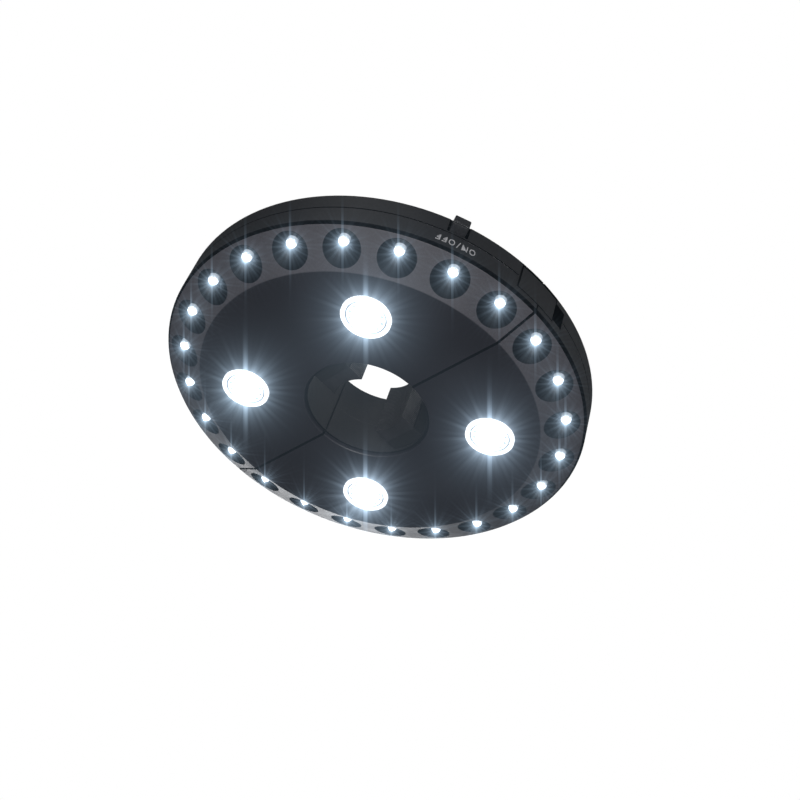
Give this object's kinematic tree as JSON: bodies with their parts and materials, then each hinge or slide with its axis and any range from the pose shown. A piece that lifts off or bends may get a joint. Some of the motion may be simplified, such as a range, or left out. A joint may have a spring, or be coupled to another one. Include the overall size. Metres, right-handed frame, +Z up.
{
  "type": "umbrella pole light",
  "caption": "Round battery light in two hinged halves that clamps round a parasol pole, with a ring of small cup lights, large lensed lights, a push button and folding hooks.",
  "frame": {"origin": "on the pole axis, at the height of the seam between the lower and upper shells, which is also the middle of the clamp jaws", "axes": "+Z up along the pole, away from the light face; +X from the hinge to the latch, along the split; +Y towards half B, so half A is the -Y half"},
  "size_m": [0.202, 0.202, 0.0392],
  "materials": {
    "face": "fine satin grain, near black",
    "case": "satin, near black",
    "led": "clear round bulb, lit cool white",
    "lens": "clear moulded lens, lit cool white",
    "reflector": "metallised",
    "board": "green circuit board",
    "power_led": "yellow phosphor under a clear dome",
    "cell": "dark blue sleeve, bright ends",
    "spring": "plated",
    "pin": "plated",
    "jaw": "satin dark grey",
    "shoe": "soft, matte",
    "hook": "satin, near black",
    "switch": "black"
  },
  "bodies": {
    "half_a": {"face_panel_a": "face", "lower_shell_a": "case", "upper_shell_a": "case", "rim_leds_a": "led", "led_ring_board_a": "board", "big_lens_1": "lens", "big_lens_2": "lens", "reflector_1": "reflector", "reflector_2": "reflector", "light_board_1": "board", "light_board_2": "board", "battery_1": "cell", "battery_2": "cell", "power_leds_a": "power_led", "battery_springs_a": "spring", "battery_contacts_a": "spring", "shell_screws_a": "pin", "jaw_springs_a": "spring", "hook_pin_a": "pin", "hinge_pin": "pin", "latch_pin": "pin", "tact_switch": "switch", "control_board": "board"},
    "half_b": {"face_panel_b": "face", "lower_shell_b": "case", "upper_shell_b": "case", "rim_leds_b": "led", "led_ring_board_b": "board", "big_lens_3": "lens", "big_lens_4": "lens", "reflector_3": "reflector", "reflector_4": "reflector", "light_board_3": "board", "light_board_4": "board", "battery_3": "cell", "battery_4": "cell", "power_leds_b": "power_led", "battery_springs_b": "spring", "battery_contacts_b": "spring", "shell_screws_b": "pin", "jaw_springs_b": "spring", "hook_pin_b": "pin"},
    "latch": {"latch_lever": "case"},
    "button": {"power_button": "case", "switch_plunger": "switch"},
    "jaw_a": {"jaw_slide_a": "jaw", "jaw_shoe_a": "shoe"},
    "jaw_b": {"jaw_slide_b": "jaw", "jaw_shoe_b": "shoe"},
    "hook_a": {"hook_a": "hook"},
    "hook_b": {"hook_b": "hook"},
    "door_a": {"battery_door_a": "case"},
    "door_b": {"battery_door_b": "case"}
  },
  "joints": [
    {"name": "clamshell_hinge", "type": "hinge", "parent": "half_a", "child": "half_b", "pos_m": [-0.0965, -0.0012, 0], "axis": [0, 0, 1], "range_deg": [0, 60]},
    {"name": "latch_hinge", "type": "hinge", "parent": "half_a", "child": "latch", "pos_m": [0.09804, -0.01221, 0], "axis": [0, 0, -1], "range_deg": [0, 35]},
    {"name": "button_press", "type": "slide", "parent": "half_a", "child": "button", "axis": [-0.9026, 0.4305, 0], "range_m": [0, 0.0015], "stiffness_N_per_m": 400, "springref_m": -0.002},
    {"name": "jaw_a_slide", "type": "slide", "parent": "half_a", "child": "jaw_a", "axis": [0, -1, 0], "range_m": [-0.0055, 0.0065], "stiffness_N_per_m": 800, "springref_m": -0.0095, "deforming": ["jaw_springs_a"]},
    {"name": "jaw_b_slide", "type": "slide", "parent": "half_b", "child": "jaw_b", "axis": [0, 1, 0], "range_m": [-0.0055, 0.0065], "stiffness_N_per_m": 800, "springref_m": -0.0095, "deforming": ["jaw_springs_b"]},
    {"name": "hook_a_fold", "type": "hinge", "parent": "half_a", "child": "hook_a", "pos_m": [-0.0386, -0.026, 0.0168], "axis": [0, 1, 0], "range_deg": [0, 90]},
    {"name": "hook_b_fold", "type": "hinge", "parent": "half_b", "child": "hook_b", "pos_m": [0.0386, 0.026, 0.0168], "axis": [0, -1, 0], "range_deg": [0, 90]},
    {"name": "door_a_hinge", "type": "hinge", "parent": "half_a", "child": "door_a", "pos_m": [0, -0.0466, 0.0174], "axis": [-1, 0, 0], "range_deg": [0, 95]},
    {"name": "door_b_hinge", "type": "hinge", "parent": "half_b", "child": "door_b", "pos_m": [0, 0.0466, 0.0174], "axis": [1, 0, 0], "range_deg": [0, 95]}
  ]
}
